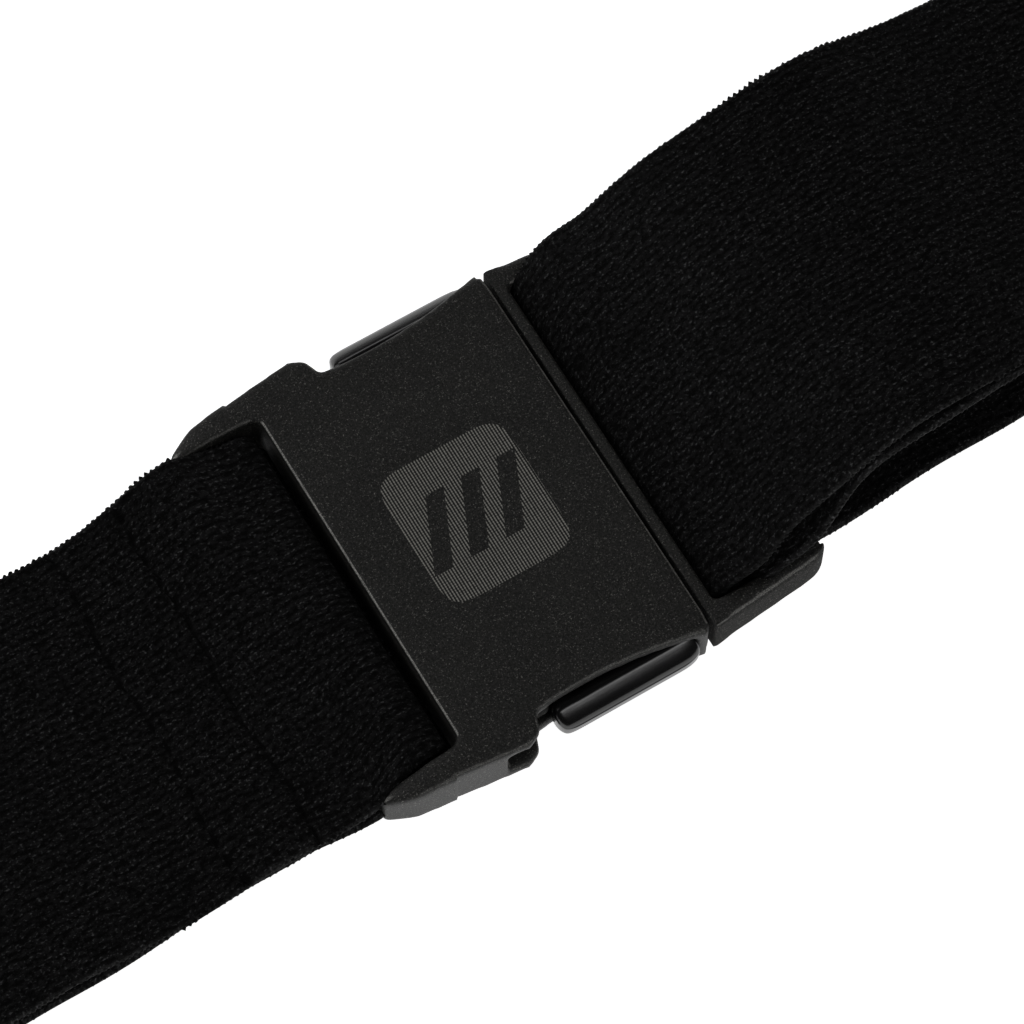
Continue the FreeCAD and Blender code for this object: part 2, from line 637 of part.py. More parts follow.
zipSlider = newBody("zip_slider")
zipPlan = sketchOn(zipSlider, "ZipSliderPlan", "XY_Plane", [[
    ("zipX", "-zipSliderHalf + zipNoseIn"), ("zipX + zipNose", "-zipSliderHalf"),
    ("zipX + zipSliderLength - zipNose", "-zipSliderHalf"),
    ("zipX + zipSliderLength", "-zipSliderHalf + zipNoseIn"),
    ("zipX + zipSliderLength", "zipSliderHalf - zipNoseIn"),
    ("zipX + zipSliderLength - zipNose", "zipSliderHalf"),
    ("zipX + zipNose", "zipSliderHalf"), ("zipX", "zipSliderHalf - zipNoseIn"),
]], "coilFloor - zipPlay - zipPlate")
pad(zipSlider, "ZipSliderBlock", zipPlan, "zipRoof - coilFloor + zipPlay + zipPlate")
primitive(zipSlider, "SubtractiveBox", "ZipChannel",
          {"Length": "zipSliderLength + cutPast * 2", "Width": "(zipSliderHalf + cutPast) * 2",
           "Height": "coilThick + zipPlay * 2"},
          ("zipX - cutPast", "-zipSliderHalf - cutPast", "coilFloor - zipPlay"))
primitive(zipSlider, "AdditiveBox", "ZipPost",
          {"Length": "zipSliderLength / 2", "Width": "coilInner * 2 - zipPlay",
           "Height": "coilThick + zipPlay * 2"},
          ("zipX + zipPostX", "-coilInner + zipPlay / 2", "coilFloor - zipPlay"))
for sign, start in (("Left", "pullHalf / 2"), ("Right", "-pullHalf / 2 - lugThick")):
    primitive(zipSlider, "AdditiveBox", f"PullLug{sign}",
              {"Length": "pinRadius * 4", "Width": "lugThick", "Height": "pinZ + pinRadius * 2 - zipRoof"},
              ("pinX - pinRadius * 2", start, "zipRoof"))
primitive(zipSlider, "AdditiveCylinder", "PullPin",
          {"Radius": "pinRadius", "Height": "pullHalf + lugThick"},
          ("pinX", "pullHalf / 2 + lugThick / 2", "pinZ"), (V(1, 0, 0), 90))

pull = newBody("zip_pull")
primitive(pull, "AdditiveCylinder", "PullEye",
          {"Radius": "pinRadius * 2", "Height": "pullHalf - zipPlay * 2"},
          ("pinX", "pullHalf / 2 - zipPlay", "pinZ"), (V(1, 0, 0), 90))
primitive(pull, "AdditiveBox", "PullNeck",
          {"Length": "zipSliderLength - pullWaist / 2", "Width": "pullHalf - zipPlay * 2",
           "Height": "pullThick"},
          ("pinX", "-pullHalf / 2 + zipPlay", "pinZ - pullThick / 2"))
primitive(pull, "AdditiveBox", "PullTab",
          {"Length": "pullLength - zipSliderLength + pullWaist", "Width": "pullHalf * 2",
           "Height": "pullThick"},
          ("pinX + zipSliderLength - pullWaist", "-pullHalf", "pinZ - pullThick / 2"))
primitive(pull, "SubtractiveCylinder", "PullEyeHole",
          {"Radius": "pinRadius + zipPlay / 2", "Height": "pullHalf * 2"},
          ("pinX", "pullHalf", "pinZ"), (V(1, 0, 0), 90))

# ---- finished pieces ----
doc.recompute()
stitching = doc.addObject("Part::Compound", "fold_stitching")
stitching.Label = "fold_stitching"
stitching.Links = rows
doc.recompute()

pieces = [o for o in doc.Objects if o.isDerivedFrom("Part::Feature") and o not in rows
          and (o.TypeId == "PartDesign::Body" or not o.isDerivedFrom("PartDesign::Feature"))
          and o.TypeId != "Sketcher::SketchObject"]
for o in doc.Objects:
    if "Invalid" in o.State or "Error" in o.State:
        raise RuntimeError(f"{o.Label} failed to rebuild")
os.makedirs("parts", exist_ok=True)
for piece in pieces:
    shape = piece.Shape
    if shape.isNull() or not shape.isValid() or shape.Volume <= 0:
        raise RuntimeError(f"{piece.Label} has no valid solid")
    shape.exportStep(f"parts/{piece.Label}.step")
    print(f"{piece.Label:22s} {shape.Volume:9.1f} mm3, {len(shape.Solids)} solid")
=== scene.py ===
import math
import random

import bmesh
import bpy
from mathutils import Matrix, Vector


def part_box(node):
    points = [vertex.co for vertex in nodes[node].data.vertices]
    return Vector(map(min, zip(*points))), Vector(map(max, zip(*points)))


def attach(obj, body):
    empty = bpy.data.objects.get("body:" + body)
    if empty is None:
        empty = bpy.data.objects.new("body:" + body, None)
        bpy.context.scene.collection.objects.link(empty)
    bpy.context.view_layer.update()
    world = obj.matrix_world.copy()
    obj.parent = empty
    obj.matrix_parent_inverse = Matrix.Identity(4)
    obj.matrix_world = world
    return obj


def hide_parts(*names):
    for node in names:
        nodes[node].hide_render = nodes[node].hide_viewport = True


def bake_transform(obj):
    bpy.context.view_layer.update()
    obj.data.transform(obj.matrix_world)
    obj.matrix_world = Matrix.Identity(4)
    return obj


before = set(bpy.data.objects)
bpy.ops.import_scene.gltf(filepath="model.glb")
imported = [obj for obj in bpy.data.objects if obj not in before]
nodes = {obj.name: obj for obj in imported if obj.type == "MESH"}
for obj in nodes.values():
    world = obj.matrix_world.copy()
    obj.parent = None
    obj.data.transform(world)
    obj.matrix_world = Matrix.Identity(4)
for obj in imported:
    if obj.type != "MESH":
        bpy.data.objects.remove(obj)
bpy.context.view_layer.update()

mm = 0.001
scene = bpy.context.scene
print("frame loaded:", len(nodes), "pieces")


# a shader socket that takes part in Python maths
class Sock:
    def __init__(self, mat, socket):
        self.mat = mat
        self.socket = socket

    @staticmethod
    def lift(mat, number):
        node = mat.tree.nodes.new("ShaderNodeValue")
        node.outputs[0].default_value = number
        return Sock(mat, node.outputs[0])

    def math(self, operation, *others):
        node = self.mat.tree.nodes.new("ShaderNodeMath")
        node.operation = operation
        for slot, value in zip(node.inputs, (self, *others)):
            self.mat.feed(slot, value)
        return Sock(self.mat, node.outputs[0])

    def __add__(self, other):
        return self.math("ADD", other)

    def __radd__(self, other):
        return self.math("ADD", other)

    def __sub__(self, other):
        return self.math("SUBTRACT", other)

    def __rsub__(self, other):
        return Sock.lift(self.mat, other).math("SUBTRACT", self)

    def __mul__(self, other):
        return self.math("MULTIPLY", other)

    def __truediv__(self, other):
        return self.math("DIVIDE", other)

    def __pow__(self, other):
        return self.math("POWER", other)

    def __lt__(self, other):
        return self.math("LESS_THAN", other)

    def __gt__(self, other):
        return self.math("GREATER_THAN", other)

    def __abs__(self):
        return self.math("ABSOLUTE")


class Material:
    def __init__(self, name):
        self.data = bpy.data.materials.new(name)
        self.data.use_nodes = True
        self.tree = self.data.node_tree
        self.shader = self.tree.nodes["Principled BSDF"]

    def feed(self, slot, value):
        if isinstance(value, Sock):
            self.tree.links.new(value.socket, slot)
        else:
            slot.default_value = value

    def node(self, kind, out=0, settings=None, **sockets):
        made = self.tree.nodes.new("ShaderNode" + kind)
        for key, setting in (settings or {}).items():
            setattr(made, key, setting)
        for key, value in sockets.items():
            self.feed(made.inputs[key.replace("_", " ")], value)
        return Sock(self, made.outputs[out])

    def ramp(self, value, *stops):
        made = self.tree.nodes.new("ShaderNodeValToRGB")
        line = made.color_ramp
        while len(line.elements) < len(stops):
            line.elements.new(0.5)
        for element, (place, shade) in zip(line.elements, stops):
            element.position = place
            element.color = (*shade, 1) if isinstance(shade, tuple) else (shade, shade, shade, 1)
        self.feed(made.inputs[0], value)
        return Sock(self, made.outputs[0])

    def mix(self, factor, first, second):
        made = self.tree.nodes.new("ShaderNodeMix")
        made.data_type = "RGBA"
        self.feed(made.inputs[0], factor)
        for slot, value in ((made.inputs[6], first), (made.inputs[7], second)):
            self.feed(slot, value if isinstance(value, Sock) else (*value, 1))
        return Sock(self, made.outputs[2])

    def scaled(self, vector, *factors):
        made = self.tree.nodes.new("ShaderNodeVectorMath")
        made.operation = "MULTIPLY"
        self.feed(made.inputs[0], vector)
        made.inputs[1].default_value = factors
        return Sock(self, made.outputs[0])

    def dot(self, vector, way):
        made = self.tree.nodes.new("ShaderNodeVectorMath")
        made.operation = "DOT_PRODUCT"
        self.feed(made.inputs[0], vector)
        made.inputs[1].default_value = way
        return Sock(self, made.outputs[1])

    def split(self, vector):
        made = self.tree.nodes.new("ShaderNodeSeparateXYZ")
        self.feed(made.inputs[0], vector)
        return [Sock(self, out) for out in made.outputs]

    def noise(self, vector, scale, detail=2.0, rough=0.5):
        return self.node("TexNoise", Vector=vector, Scale=scale, Detail=detail, Roughness=rough)

    def wave(self, value, pitch):
        # runs from 0 to 1 and back once in each pitch
        return (value * (2 * math.pi / pitch)).math("SINE") * 0.5 + 0.5

    def objectPlace(self):
        return self.scaled(self.node("TexCoord", 3), 1000, 1000, 1000)    # object millimetres

    def bump(self, height, strength, distance):
        return self.node("Bump", Height=height, Strength=strength, Distance=distance)

    def finish(self, color=None, rough=None, normal=None, **fixed):
        plain = color is not None and not isinstance(color, Sock)
        color = (*color, 1) if plain else color
        for slot, value in (("Base Color", color), ("Roughness", rough), ("Normal", normal)):
            if value is not None:
                self.feed(self.shader.inputs[slot], value)
        for key, value in fixed.items():
            self.shader.inputs[key.replace("_", " ")].default_value = value
        return self.data


webbingLook = {
    "dark": (0.0001, 0.0001, 0.0001), "litPile": (0.0124, 0.0124, 0.0127), "glint": (0.140, 0.140, 0.144),
    "ribPitch": 0.85, "relief": 0.00040,
}


def makeWebbing():
    look = webbingLook
    m = Material("elasticWebbing")
    uv = m.node("UVMap", settings={"uv_map": "cloth"})          # millimetres along and across
    across = m.split(uv)[1]
    warp = m.noise(m.scaled(uv, 0.5, 0.5, 1), 1.0, 3.0)
    rib = m.wave(across + warp * 1.6, look["ribPitch"])
    loops = m.node("TexVoronoi", 0, Vector=m.scaled(uv, 1.7, 2.5, 1), Scale=1.0, Randomness=0.9)
    pits = m.noise(m.scaled(uv, 1.9, 3.0, 1), 1.0, 3.0, 0.65)
    fibre = m.noise(m.scaled(uv, 4.2, 5.6, 1), 1.0, 3.0, 0.75)
    height = rib * 0.24 + (1 - loops) * 0.55 + pits * 0.85 + fibre * 0.67
    # painted shade in the weave's hollows and painted light on its raised pile: the colour is darker where
    # the relief is low
    shade = m.ramp(height * 0.60, (0.58, 0.0), (0.84, 1.0))
    # painted glints: bright specks in the colour, mostly on the raised pile
    sparkle = m.ramp(m.noise(m.scaled(uv, 3.0, 4.4, 1), 1.0, 1.0, 0.6), (0.57, 0.0), (0.78, 1.0))
    blotch = m.noise(m.scaled(uv, 0.10, 0.16, 1), 1.0, 2.0)
    body = m.mix(shade, look["dark"], look["litPile"])
    body = m.mix(sparkle * (shade * 0.8 + 0.05), body, look["glint"])
    body = m.mix(m.ramp(blotch, (0.42, 0.0), (0.66, 0.25)), body, look["dark"])
    # painted shade in the stitch grooves, darkest where the ply is pulled down most
    seam = m.node("Attribute", 2, settings={"attribute_name": "seam"})
    body = m.mix(m.ramp(seam, (0.15, 0.0), (0.34, 0.90)), body, look["dark"])
    normal = m.bump(height, 1.0, look["relief"])
    return m.finish(body, 0.9, normal, Specular_IOR_Level=0.12)


plasticLook = {
    "deep": (0.0018, 0.0018, 0.0016), "litGrain": (0.0220, 0.0216, 0.0198), "glintSpeck": (0.330, 0.322, 0.300),
    "edge": (0.420, 0.412, 0.390), "grain": 4.8, "relief": 0.00006,
}


def makeMouldedPlastic(name, litEdges, badge=False, dullSides=0.0):
    look = plasticLook
    m = Material(name)
    place = m.objectPlace()
    grain = m.noise(place, look["grain"], 3.0, 0.72)
    fine = m.noise(place, look["grain"] * 2.2, 1.0)
    # painted glints: small bright specks in the colour
    glintSpeck = m.ramp(m.noise(place, 6.2, 2.0, 0.75), (0.60, 0.0), (0.76, 1.0))
    cloud = m.noise(place, 0.12, 3.0)
    # painted light on the grain's raised points and painted shade in its low points
    litGrain = m.ramp(grain + cloud * 0.12 - 0.06, (0.38, 0.0), (0.64, 1.0))
    color = m.mix(litGrain, look["deep"], look["litGrain"])
    color = m.mix(glintSpeck * 0.75, color, look["glintSpeck"])
    facing = m.node("NewGeometry", 1)
    # painted highlights on the edges that face each of these ways, broken up by the fine grain
    for way, light in litEdges:
        litEdge = m.ramp(m.dot(facing, way), (0.945, 0.0), (0.985, 1.0))
        color = m.mix(litEdge * light * m.ramp(fine, (0.38, 0.15), (0.62, 1.0)), color, look["edge"])
    upright = m.ramp(m.split(facing)[2], (0.25, 1.0), (0.60, 0.0))
    rough = 0.46 + cloud * 0.12 + upright * dullSides
    height = grain + fine * 0.5
    if badge:
        color, rough, height = etchedPanel(m, place, color, rough, height)
    normal = m.bump(height, 0.8, look["relief"])
    return m.finish(color, rough, normal, Specular_IOR_Level=0.27)


panelLook = {
    "halfLong": 6.95, "halfWide": 7.5, "square": 7.0, "barWide": 2.0, "barLong": 7.6, "barStep": 3.9,
    "slant": 1.7, "hatch": 0.30, "dot": 0.26, "sunk": 1.4, "above": 7.0,
    "line": (0.300, 0.295, 0.270), "ground": (0.0060, 0.0059, 0.0054),
}


def etchedPanel(m, place, color, rough, height):
    look = panelLook
    x, y, z = m.split(place)
    facing = m.split(m.node("NewGeometry", 1))[2] > 0.9
    bulge = abs(x / look["halfLong"]) ** look["square"] + abs(y / look["halfWide"]) ** look["square"]
    panel = bulge < 1.0
    lean = x - y * (2 * look["slant"] / look["barLong"])
    step = abs((lean / look["barStep"] + 0.5).math("FRACT") - 0.5) * look["barStep"]
    bars = (step < look["barWide"] / 2) * (abs(lean) < look["barStep"] * 1.5)    # three of them
    bars = bars * (abs(y) < look["barLong"] / 2)
    panel = panel * (1 - bars) * facing * (z > look["above"])
    lines = m.wave(x, look["hatch"])
    dots = m.wave(y, look["dot"])
    grit = m.noise(place, 4.0, 2.0)
    weave = m.ramp(lines * (0.60 + dots * 0.40) * (0.45 + grit * 1.1), (0.30, 0.0), (0.80, 1.0))
    etched = m.mix(weave, look["ground"], look["line"])
    return m.mix(panel, color, etched), rough + panel * 0.12, height - panel * look["sunk"]


glossLook = {"dark": (0.0035, 0.0035, 0.0036), "light": (0.0065, 0.0065, 0.0066), "rough": 0.15}


def makeGloss():
    m = Material("polishedPlastic")
    place = m.objectPlace()
    drag = m.noise(m.scaled(place, 0.25, 3.0, 3.0), 1.0, 3.0)
    color = m.mix(m.noise(place, 0.6, 2.0), glossLook["dark"], glossLook["light"])
    normal = m.bump(drag, 0.2, 0.00002)
    return m.finish(color, glossLook["rough"] + drag * 0.10, normal, Specular_IOR_Level=0.5)


threadLook = {"dark": (0.0004, 0.0004, 0.0004), "light": (0.0022, 0.0022, 0.0023), "twist": 22.0}


def makeThread():
    m = Material("sewingThread")
    x, y, _ = m.split(m.objectPlace())
    twist = ((y + x * 0.6) * threadLook["twist"]).math("SINE") * 0.5 + 0.5
    color = m.mix(twist, threadLook["dark"], threadLook["light"])
    return m.finish(color, 0.85, m.bump(twist, 0.6, 0.00005), Specular_IOR_Level=0.08)


clothLook = {"rough": 0.74, "relief": 0.00006, "sheen": 0.05}


def makeCloth(name, dark, light, pitch):
    m = Material(name)
    place = m.objectPlace()
    x, y, _ = m.split(place)
    warp, weft = [(value * (2 * math.pi / pitch)).math("SINE") for value in (x, y)]
    weave = (warp * weft) * 0.5 + 0.5
    soft = m.noise(place, 1.4, 3.0)
    color = m.mix(weave * 0.6 + soft * 0.4, dark, light)
    normal = m.bump(weave + soft * 0.3, 0.8, clothLook["relief"])
    return m.finish(color, clothLook["rough"], normal, Specular_IOR_Level=0.3,
                    Sheen_Weight=clothLook["sheen"])


metalLook = {"dark": (0.016, 0.016, 0.017), "worn": (0.22, 0.21, 0.20), "rough": 0.26}


def makeDarkMetal():
    m = Material("darkMetal")
    wear = m.ramp(m.node("NewGeometry", 7), (0.52, 0.0), (0.60, 1.0))
    flake = m.noise(m.objectPlace(), 6.0, 3.0)
    color = m.mix(wear * 0.7, metalLook["dark"], metalLook["worn"])
    return m.finish(color, metalLook["rough"] + flake * 0.16, m.bump(flake, 0.3, 0.00003), Metallic=0.7)


webbing = makeWebbing()
# ways that lit edges face, where highlights are painted, with each one's strength
leftLitEdge, rightLitEdge, nearLitEdge = (-0.66, 0.0, 0.75), (0.66, 0.0, 0.75), (0.0, -0.66, 0.75)
socketLitEdges = ((leftLitEdge, 0.95), (rightLitEdge, 0.50), (nearLitEdge, 0.24))
socketPlastic = makeMouldedPlastic("socketPlastic", socketLitEdges, badge=True)
plainPlastic = makeMouldedPlastic("plugPlastic", ((nearLitEdge, 0.45),), dullSides=0.45)
gloss = makeGloss()
thread = makeThread()
pocketCloth = makeCloth("pocketCloth", (0.006, 0.006, 0.007), (0.016, 0.016, 0.018), 0.42)
tapeCloth = makeCloth("zipTapeCloth", (0.005, 0.005, 0.005), (0.018, 0.018, 0.019), 0.6)
coilNylon = makeCloth("coilNylon", (0.006, 0.006, 0.006), (0.02, 0.02, 0.02), 0.3)
darkMetal = makeDarkMetal()
print("materials made")


def addPiece(name, mesh, material, smooth=True):
    mesh.materials.clear()
    mesh.materials.append(material)
    obj = bpy.data.objects.new(name, mesh)
    scene.collection.objects.link(obj)
    for face in mesh.polygons:
        face.use_smooth = smooth
    return obj


def baked(obj):
    depsgraph = bpy.context.evaluated_depsgraph_get()
    mesh = bpy.data.meshes.new_from_object(obj.evaluated_get(depsgraph))
    obj.modifiers.clear()
    obj.data = mesh
    return obj


def joined(target, extra):
    bm = bmesh.new()
    bm.from_mesh(target.data)
    bm.from_mesh(extra.data)
    bm.to_mesh(target.data)
    bm.free()
    bpy.data.objects.remove(extra)
    return target


def ramped(value, start, end):
    return min(max((value - start) / (end - start), 0.0), 1.0)


def nodeBox(name):
    low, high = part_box(name)
    return [Vector(low) / mm, Vector(high) / mm]


# a strap's route is a line of points in the belt's long section, in millimetres, midway through the ply
strap = {"width": 37.5, "thick": 1.45, "round": 0.42, "step": 0.8, "fineStep": 0.36, "columns": 30,
         "sway": 0.16, "bulge": 0.16, "bulgeTurn": 0.31, "taper": 3.0, "lowest": 0.02}
halfPly = 0.75
bar = {"socket": nodeBox("socket_strap_loop"), "plug": nodeBox("plug_strap_loop"),
       "slider": nodeBox("slider_strap_loop")}
foldTop = nodeBox("left_fold")[1].z
foldMid = foldTop - halfPly
foldX = nodeBox("right_fold")[0].x
barZ = (bar["socket"][0].z + bar["socket"][1].z) / 2
wrapMid = (bar["socket"][1].z - bar["socket"][0].z) / 2 - halfPly
socketBarX = bar["socket"][1].x - wrapMid - halfPly
plugBarX = (bar["plug"][0].x + bar["plug"][1].x) / 2


def arc(centreX, centreZ, radius, start, end, steps=10):
    turns = [math.radians(start + (end - start) * n / steps) for n in range(steps + 1)]
    return [(centreX + radius * math.cos(a), centreZ + radius * math.sin(a)) for a in turns]


def eased(start, end, steps=6):
    points = []
    for n in range(steps + 1):
        t = n / steps
        points.append((start[0] + (end[0] - start[0]) * t,
                       start[1] + (end[1] - start[1]) * t * t * (3 - 2 * t)))
    return points


def smoothRoute(points, step):
    route = [Vector((x, z)) for x, z in points]
    route = [p for n, p in enumerate(route) if n == 0 or (p - route[n - 1]).length > 1e-4]
    dense = []
    for n in range(len(route) - 1):
        p0 = route[n - 1] if n else route[0] * 2 - route[1]
        p1, p2 = route[n], route[n + 1]
        p3 = route[n + 2] if n + 2 < len(route) else p2 * 2 - p1
        d0, d1, d2 = [max((a - b).length, 1e-6) ** 0.5 for a, b in ((p1, p0), (p2, p1), (p3, p2))]
        m1 = (p1 - p0) / d0 - (p2 - p0) / (d0 + d1) + (p2 - p1) / d1
        m2 = (p2 - p1) / d1 - (p3 - p1) / (d1 + d2) + (p3 - p2) / d2
        count = max(2, round((p2 - p1).length / step * 3))
        for k in range(count):
            t = k / count
            a = 2 * t ** 3 - 3 * t ** 2 + 1
            b = t ** 3 - 2 * t ** 2 + t
            c = -2 * t ** 3 + 3 * t ** 2
            d = t ** 3 - t ** 2
            dense.append(p1 * a + m1 * (b * d1) + p2 * c + m2 * (d * d1))
    dense.append(route[-1])
    lengths = [0.0]
    for a, b in zip(dense, dense[1:]):
        lengths.append(lengths[-1] + (b - a).length)
    total = lengths[-1]
    count = max(2, round(total / step))
    even, k = [], 0
    for n in range(count + 1):
        want = total * n / count
        while k < len(lengths) - 2 and lengths[k + 1] < want:
            k += 1
        share = (want - lengths[k]) / max(lengths[k + 1] - lengths[k], 1e-9)
        even.append(dense[k].lerp(dense[k + 1], min(max(share, 0), 1)))
    return even, total


def crossSection(look):
    half, thick, r, columns = look["width"] / 2, look["thick"] / 2, look["round"], look["columns"]
    top = [(-half + r + (2 * half - 2 * r) * n / columns, thick) for n in range(columns + 1)]
    side = [(half - r + r * math.cos(a), thick * math.sin(a)) for a in (1.05, 0.52, 0, -0.52, -1.05)]
    bottom = [(-y, -z) for y, z in top]
    return [*top, *side, *bottom, *[(-y, -z) for y, z in side]]


flare = {"leftFrom": 17.5, "leftFull": 22.0, "fadeFrom": 60.0, "fadeTo": 100.0, "left": 0.030,
         "leftPeak": 0.045, "leftAt": -23.0, "leftReach": 7.5, "right": 0.055, "rightAt": 19.5,
         "rightReach": 3.0}


def hump(value, middle, reach):
    return math.exp(-((value - middle) / reach) ** 2)


def atBar(x, z):
    # an upper ply spreads a little where it comes off a bar
    if z <= 3:
        return 1.0
    left = ramped(-x, flare["leftFrom"], flare["leftFull"])
    left *= 1 - ramped(-x, flare["fadeFrom"], flare["fadeTo"])
    near = left * (flare["left"] + flare["leftPeak"] * hump(x, flare["leftAt"], flare["leftReach"]))
    return 1 + near + flare["right"] * hump(x, flare["rightAt"], flare["rightReach"])


def edgeBulge(s, total, seed):
    # the edges aren't quite straight
    taper = min(1.0, s / strap["taper"], (total - s) / strap["taper"])
    return strap["bulge"] * taper * math.sin(s * strap["bulgeTurn"] + seed)


def makeStrap(name, points, seed, shift, groove=None):
    look = strap
    centre, total = smoothRoute(points, look["fineStep"] if groove else look["step"])
    outline = crossSection(look)
    rng = random.Random(seed)
    waves = [(rng.uniform(0.04, 0.16), rng.uniform(0.05, 0.3), rng.uniform(0, 6.3)) for _ in range(6)]
    bm = bmesh.new()
    uvLayer = bm.loops.layers.uv.new("cloth")
    seamLayer = bm.verts.layers.float.new("seam")
    underside = 60    # the lower face's weave lies this far beside the upper face's
    rings, marks = [], []
    for n, p in enumerate(centre):
        a, b = centre[max(n - 1, 0)], centre[min(n + 1, len(centre) - 1)]
        along = (b - a).normalized()
        normal = Vector((-along.y, along.x))
        s = total * n / (len(centre) - 1)
        taper = min(1.0, s / look["taper"], (total - s) / look["taper"])
        aside, widen, bulge = shift(p.x, p.y), atBar(p.x, p.y), edgeBulge(s, total, seed)
        ring, ringMarks = [], []
        for y, z in outline:
            wave = sum(math.sin(f * s + g * y + h) for f, g, h in waves) / len(waves)
            dip = groove(p.x, p.y, y) if groove and z < 0 else 0.0
            spot = p + normal * (z + wave * look["sway"] * taper + dip)
            across = y * widen + aside + bulge * y / (look["width"] / 2)
            made = bm.verts.new((spot.x * mm, across * mm, max(spot.y, look["lowest"]) * mm))
            # the groove's depth is kept for the painted shade in the stitch grooves
            made[seamLayer] = dip
            ring.append(made)
            ringMarks.append((s, y if z >= 0 else underside + y))
        rings.append(ring)
        marks.append(ringMarks)
    size = len(outline)
    for n in range(len(rings) - 1):
        for k in range(size):
            j = (k + 1) % size
            face = bm.faces.new((rings[n][k], rings[n][j], rings[n + 1][j], rings[n + 1][k]))
            flat = marks[n][k][1]
            for loop, (ringNo, col) in zip(face.loops, ((n, k), (n, j), (n + 1, j), (n + 1, k))):
                s, across = marks[ringNo][col]
                if abs(across - flat) > underside / 2:
                    across += underside if across < flat else -underside
                loop[uvLayer].uv = (s, across)
    bm.faces.new(rings[0])
    bm.faces.new(list(reversed(rings[-1])))
    bmesh.ops.recalc_face_normals(bm, faces=bm.faces)
    mesh = bpy.data.meshes.new(name)
    bm.to_mesh(mesh)
    bm.free()
    obj = addPiece(name, mesh, webbing)
    for side in (-1, 1):
        joined(obj, picotEdge(name + "Picots", centre, total, side, shift, seed))
    print(name, "length", round(total, 1), "mm,", len(obj.data.polygons), "faces")
    return obj, total


def newTree(name, inputs):
    tree = bpy.data.node_groups.new(name, "GeometryNodeTree")
    tree.interface.new_socket("Geometry", in_out="INPUT", socket_type="NodeSocketGeometry")
    for label, kind, value in inputs:
        made = tree.interface.new_socket(label, in_out="INPUT", socket_type=kind)
        if value is not None:
            made.default_value = value
    tree.interface.new_socket("Geometry", in_out="OUTPUT", socket_type="NodeSocketGeometry")
    return tree, tree.nodes.new("NodeGroupInput"), tree.nodes.new("NodeGroupOutput")


def wire(tree, source, out, target, slot):
    tree.links.new(source.outputs[out], target.inputs[slot])


def treeNode(tree, kind, settings=None, **values):
    made = tree.nodes.new(kind)
    for key, setting in (settings or {}).items():
        setattr(made, key, setting)
    for key, value in values.items():
        made.inputs[key.replace("_", " ")].default_value = value
    return made


def makeRowTree(name, inputs, piece, spread):
    # spaces one small shape evenly along a line; the callers size and turn the shapes
    tree, given, result = newTree(name, [
        ("Pitch", "NodeSocketFloat", 0.001), ("Size", "NodeSocketVector", None), *inputs,
        ("Seed", "NodeSocketInt", 1), ("Finish", "NodeSocketMaterial", None)])
    curve = treeNode(tree, "GeometryNodeMeshToCurve")
    spaced = treeNode(tree, "GeometryNodeResampleCurve", {"mode": "LENGTH"})
    onPoints = treeNode(tree, "GeometryNodeInstanceOnPoints")
    shape = treeNode(tree, piece["kind"], **piece["values"])
    soften = treeNode(tree, "GeometryNodeSetShadeSmooth")
    align = treeNode(tree, "FunctionNodeAlignEulerToVector", {"axis": "X"})
    tangent = treeNode(tree, "GeometryNodeInputTangent")
    low, high = spread
    wobble = treeNode(tree, "FunctionNodeRandomValue", {"data_type": "FLOAT"}, Min=low, Max=high)
    realize = treeNode(tree, "GeometryNodeRealizeInstances")
    finish = treeNode(tree, "GeometryNodeSetMaterial")
    wire(tree, given, "Geometry", curve, "Mesh")
    wire(tree, curve, "Curve", spaced, "Curve")
    wire(tree, given, "Pitch", spaced, "Length")
    wire(tree, spaced, "Curve", onPoints, "Points")
    wire(tree, shape, "Mesh", soften, 0)
    wire(tree, soften, 0, onPoints, "Instance")
    wire(tree, tangent, 0, align, "Vector")
    wire(tree, given, "Seed", wobble, "Seed")
    wire(tree, onPoints, "Instances", realize, "Geometry")
    wire(tree, realize, "Geometry", finish, "Geometry")
    wire(tree, given, "Finish", finish, "Material")
    wire(tree, finish, "Geometry", result, "Geometry")
    return tree, given, onPoints, align, wobble


def makeBeadTree():
    bead = {"kind": "GeometryNodeMeshIcoSphere", "values": {"Radius": 1.0, "Subdivisions": 1}}
    inputs = [("Looseness", "NodeSocketFloat", 0.15)]
    tree, given, onPoints, align, wobble = makeRowTree("beadsAlongEdge", inputs, bead, (0.0, 1.0))
    grow = treeNode(tree, "ShaderNodeMath", {"operation": "MULTIPLY_ADD"})
    scaleUp = treeNode(tree, "ShaderNodeVectorMath", {"operation": "SCALE"})
    grow.inputs[2].default_value = 0.92
    wire(tree, align, 0, onPoints, "Rotation")
    wire(tree, wobble, 1, grow, 0)
    wire(tree, given, "Looseness", grow, 1)
    wire(tree, given, "Size", scaleUp, 0)
    wire(tree, grow, 0, scaleUp, "Scale")
    wire(tree, scaleUp, 0, onPoints, "Scale")
    return tree


def makeStitchTree():
    spindle = {"kind": "GeometryNodeMeshUVSphere", "values": {"Segments": 8, "Rings": 6, "Radius": 1.0}}
    inputs = [("Turn", "NodeSocketFloat", 0.2)]
    tree, given, onPoints, align, wobble = makeRowTree("stitchesAlongLine", inputs, spindle, (-0.12, 0.12))
    total = treeNode(tree, "ShaderNodeMath", {"operation": "ADD"})
    combine = treeNode(tree, "ShaderNodeCombineXYZ")
    turned = treeNode(tree, "FunctionNodeRotateEuler", {"rotation_type": "EULER", "space": "OBJECT"})
    wire(tree, wobble, 1, total, 0)
    wire(tree, given, "Turn", total, 1)
    wire(tree, total, 0, combine, "Z")
    wire(tree, align, 0, turned, 0)
    wire(tree, combine, 0, turned, 1)
    wire(tree, turned, 0, onPoints, "Rotation")
    wire(tree, given, "Size", onPoints, "Scale")
    return tree


